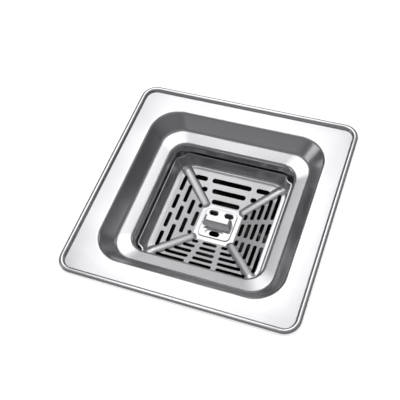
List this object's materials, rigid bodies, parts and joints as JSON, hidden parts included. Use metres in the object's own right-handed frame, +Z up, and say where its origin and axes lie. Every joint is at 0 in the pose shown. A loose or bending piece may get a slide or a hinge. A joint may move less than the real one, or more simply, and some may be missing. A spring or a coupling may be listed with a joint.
{
  "type": "floor drain",
  "caption": "Square stainless floor drain with a beaded flange, recessed lift-out strainer basket with bridge handle, and a bell water trap over a threaded outlet tail.",
  "frame": {"origin": "on the drain's axis, in the plane of the flange's underside that beds on the floor", "axes": "+Z up out of the floor, +X and +Y along the sides of the square plate, the handle's lip faces -Y"},
  "size_m": [0.2, 0.2, 0.1621],
  "materials": {
    "satin_steel_pan": "satin, pressed and bead-rolled",
    "drawn_steel_bowl": "matt as drawn",
    "turned_steel_tail": "fine turned",
    "black_rubber": "matt moulded",
    "grey_nylon": "matt natural nylon",
    "brass_nut": "machined",
    "bright_steel_basket": "bright rolled, pressed and punched",
    "polished_steel_handle": "bright rolled",
    "black_plastic_bell": "moulded polypropylene, fine grain",
    "plated_fastener": "bright plated",
    "pickled_steel_lug": "pickled, matt"
  },
  "bodies": {
    "drain_body": {"flange_pan": "satin_steel_pan", "trap_bowl": "drawn_steel_bowl", "outlet_tail": "turned_steel_tail", "tail_gasket_upper": "black_rubber", "tail_gasket_lower": "black_rubber", "slip_washer": "grey_nylon", "backnut": "brass_nut", "anchor_lug_east": "pickled_steel_lug", "anchor_lug_north": "pickled_steel_lug", "anchor_lug_west": "pickled_steel_lug", "anchor_lug_south": "pickled_steel_lug", "seat_pad_east": "black_rubber", "seat_pad_north": "black_rubber", "seat_pad_west": "black_rubber", "seat_pad_south": "black_rubber"},
    "basket": {"strainer_basket": "bright_steel_basket", "handle_plate": "polished_steel_handle", "hanger_stud": "plated_fastener", "spacer_sleeve": "plated_fastener", "bell_cup": "black_plastic_bell", "bell_washer": "plated_fastener", "bell_nut": "plated_fastener"}
  },
  "joints": [
    {"name": "basket_lift", "type": "slide", "parent": "drain_body", "child": "basket", "axis": [0, 0, 1], "range_m": [0, 0.12]}
  ]
}
